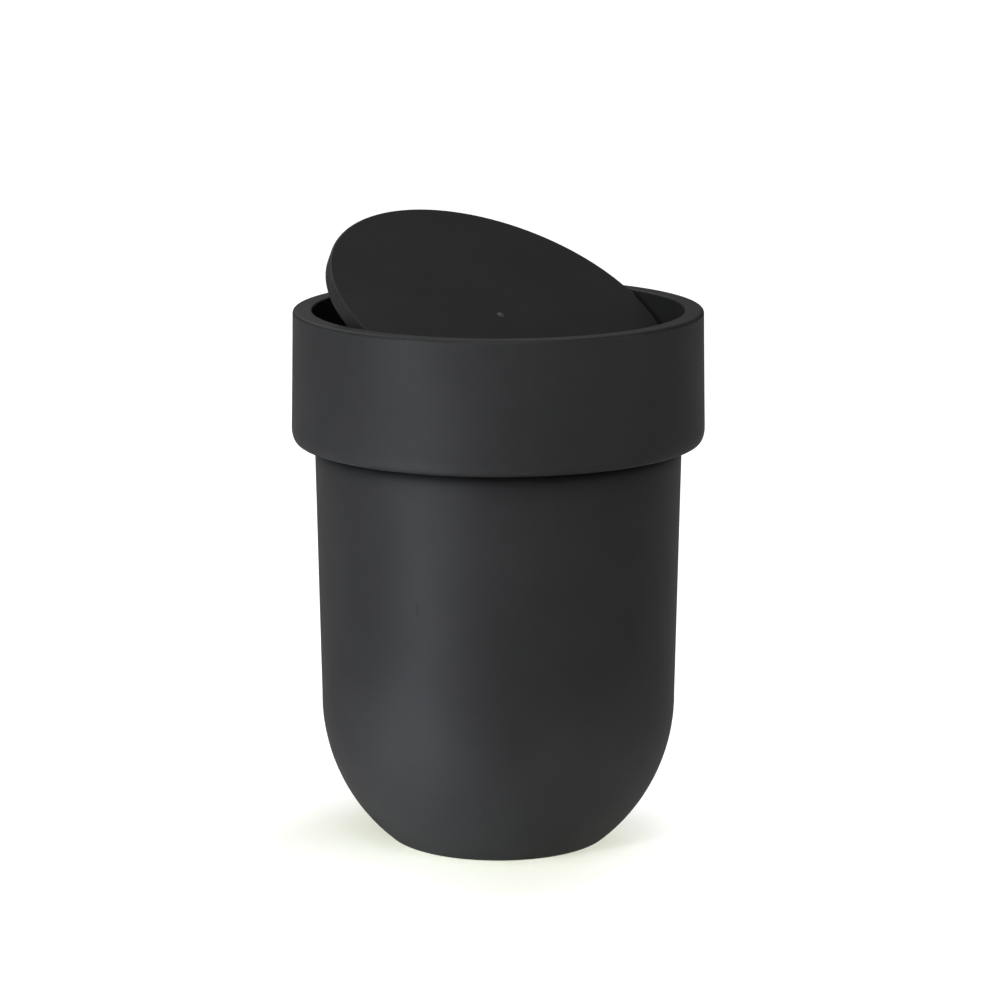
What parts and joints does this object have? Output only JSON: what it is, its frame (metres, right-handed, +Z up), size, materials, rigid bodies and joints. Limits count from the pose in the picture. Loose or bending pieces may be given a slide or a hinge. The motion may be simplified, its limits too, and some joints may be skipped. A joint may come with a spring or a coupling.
{
  "type": "swing-lid bathroom bin",
  "caption": "Round bathroom bin with a tapered, round-bottomed bucket, a wider lift-off lid ring and a round swinging flap, shown part open.",
  "frame": {"origin": "middle of the base, on the floor", "axes": "+Z up along the bin's axis, X along the flap's hinge, +Y towards the raised side of the flap"},
  "size_m": [0.1904, 0.1904, 0.2868],
  "materials": {
    "soft_touch_plastic": "soft-touch matt, charcoal",
    "pin_steel": "ground",
    "weight_steel": "zinc plated",
    "screw_steel": "zinc plated"
  },
  "bodies": {
    "bin": {"bucket": "soft_touch_plastic"},
    "lid": {"lid_ring": "soft_touch_plastic"},
    "flap": {"flap": "soft_touch_plastic", "pivot_pin_left": "pin_steel", "pivot_pin_right": "pin_steel", "counterweight": "weight_steel", "weight_screw_left": "screw_steel", "weight_screw_right": "screw_steel"}
  },
  "joints": [
    {"name": "lid_lift", "type": "slide", "parent": "bin", "child": "lid", "axis": [0, 0, 1], "range_m": [0, 0.06]},
    {"name": "flap_swing", "type": "hinge", "parent": "lid", "child": "flap", "pos_m": [0, 0, 0.245], "axis": [1, 0, 0], "continuous": true}
  ]
}
